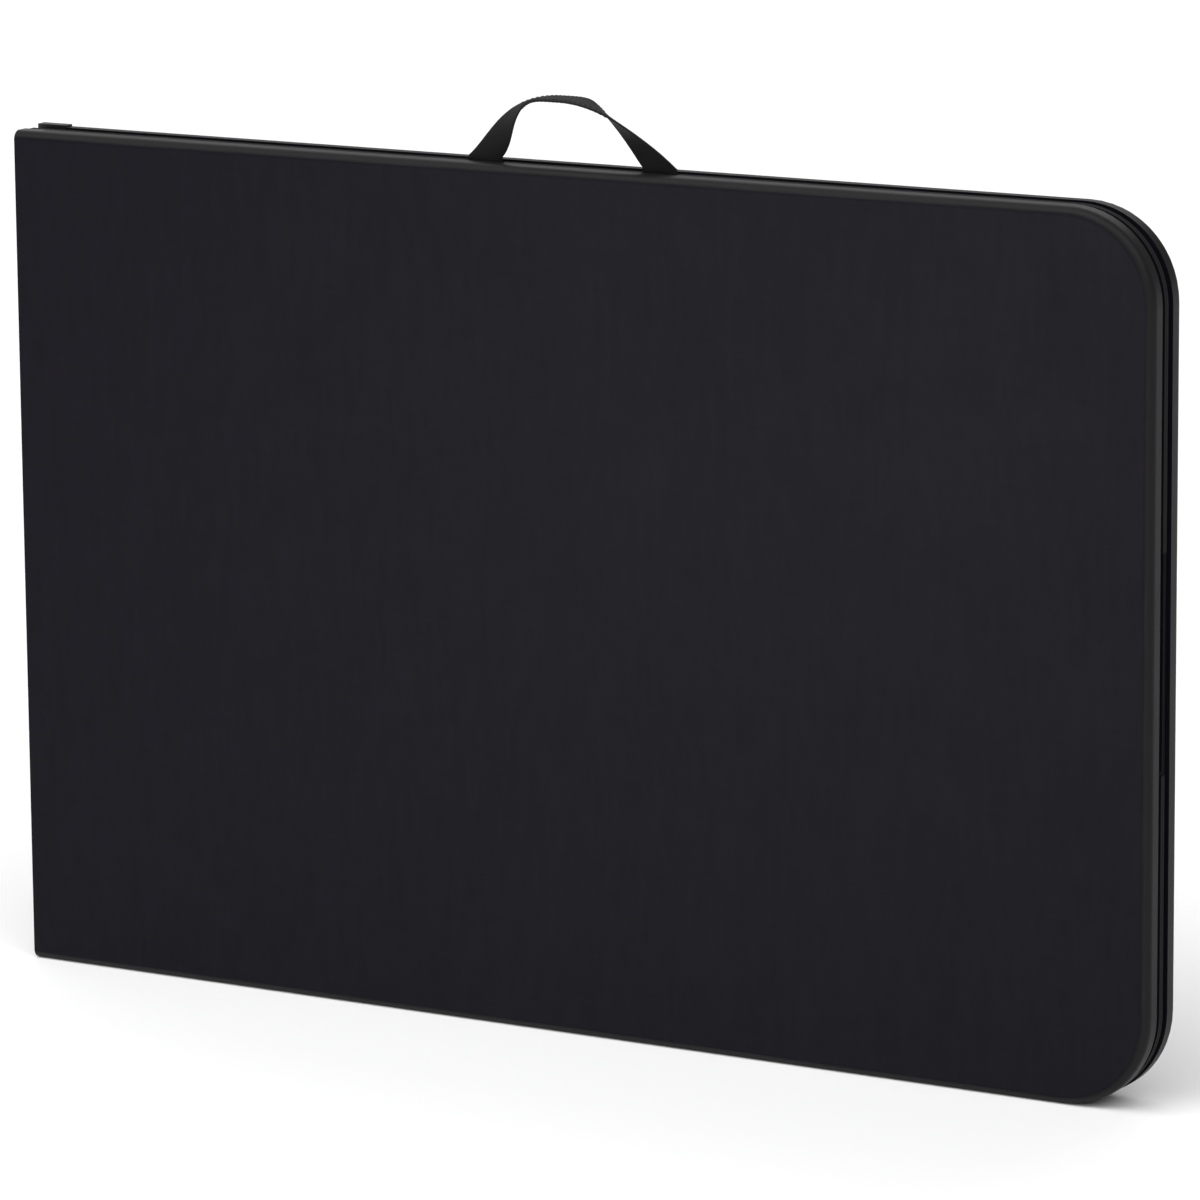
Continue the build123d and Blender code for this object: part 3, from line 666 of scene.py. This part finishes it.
def white_room():
    """White to the camera, and a dimmer grey in reflections and as fill."""
    world = bpy.data.worlds.new("white_room")
    world.use_nodes = True
    tree = world.node_tree
    seen = new_node(tree, "ShaderNodeLightPath").outputs["Is Camera Ray"]
    strength = ranged(tree, seen, 0.0, 1.0, ROOM_FILL, 1.0)
    tree.links.new(strength, tree.nodes["Background"].inputs["Strength"])
    tree.nodes["Background"].inputs["Color"].default_value = (1, 1, 1, 1)
    bpy.context.scene.world = world


def pale_floor():
    """Flat floor: rings of growing radius about the table, and one face in their middle."""
    angle = np.linspace(0, 2 * math.pi, FLOOR_SIDES, endpoint=False)
    far, turn = np.meshgrid(FLOOR_RINGS, angle, indexing="ij")
    points = np.stack([far * np.cos(turn), far * np.sin(turn), np.zeros_like(far)], -1)
    rings = grid_faces(len(FLOOR_RINGS), FLOOR_SIDES)[:-2]    # without its two caps
    faces = [*rings, list(range(FLOOR_SIDES))]
    material, tree, shader, place = new_material("pale_floor", Roughness=0.9, Specular_IOR_Level=0.1)
    grain = use_group(tree, GRAIN, {"Vector": place["Object"], "Size": 40.0})
    colour = colour_between(tree, grain["Tone"], (0.87, 0.87, 0.87), (0.91, 0.91, 0.91))
    tree.links.new(colour, shader.inputs["Base Color"])
    mesh_object("pale_floor", points.reshape(-1, 3), faces, material)


def studio():
    """Dim white room, broad suns from the front, the outer end and the back, and a low lamp that
    brightens the face towards the outer end."""
    white_room()
    soft_sun("key", (-0.9, -1.6, 3.1), 50, 1.8)
    soft_sun("outer_end", (2.0, -1.3, 2.7), 50, 1.5)
    soft_sun("back_fill", (-1.2, 2.4, 2.6), 60, 0.8)
    area_light("low_front", (-0.35, -1.6, 0.35), (0.35, 0, 0.45), (0.8, 0.6), 11)
    bpy.context.scene.view_settings.view_transform = "Standard"


def camera():
    """Long lens on the face from in front of its outer end and a little above."""
    lens = bpy.data.cameras.new("camera")
    lens.lens, lens.sensor_width = LENS_LENGTH, SENSOR_WIDTH
    bpy.context.scene.camera = set_up("camera", lens, looking(CAMERA_PLACE, CAMERA_AIM, CAMERA_ROLL))


# ---------------------------------------------------------------- putting it together


finish_cad_nodes()
rides_strap(carrying_strap())
rides_strap(strap_stitching())
for half in "ab":
    for kind in ("hinge_screws", "rail_screws", "bracket_screws"):
        screws(f"{kind}_{half}", half)
    for edge in ("bottom", "top"):
        ribbed_foot(f"foot_cap_{half}_{edge}")
screws("strap_screws", "a")
pale_floor()
studio()
camera()
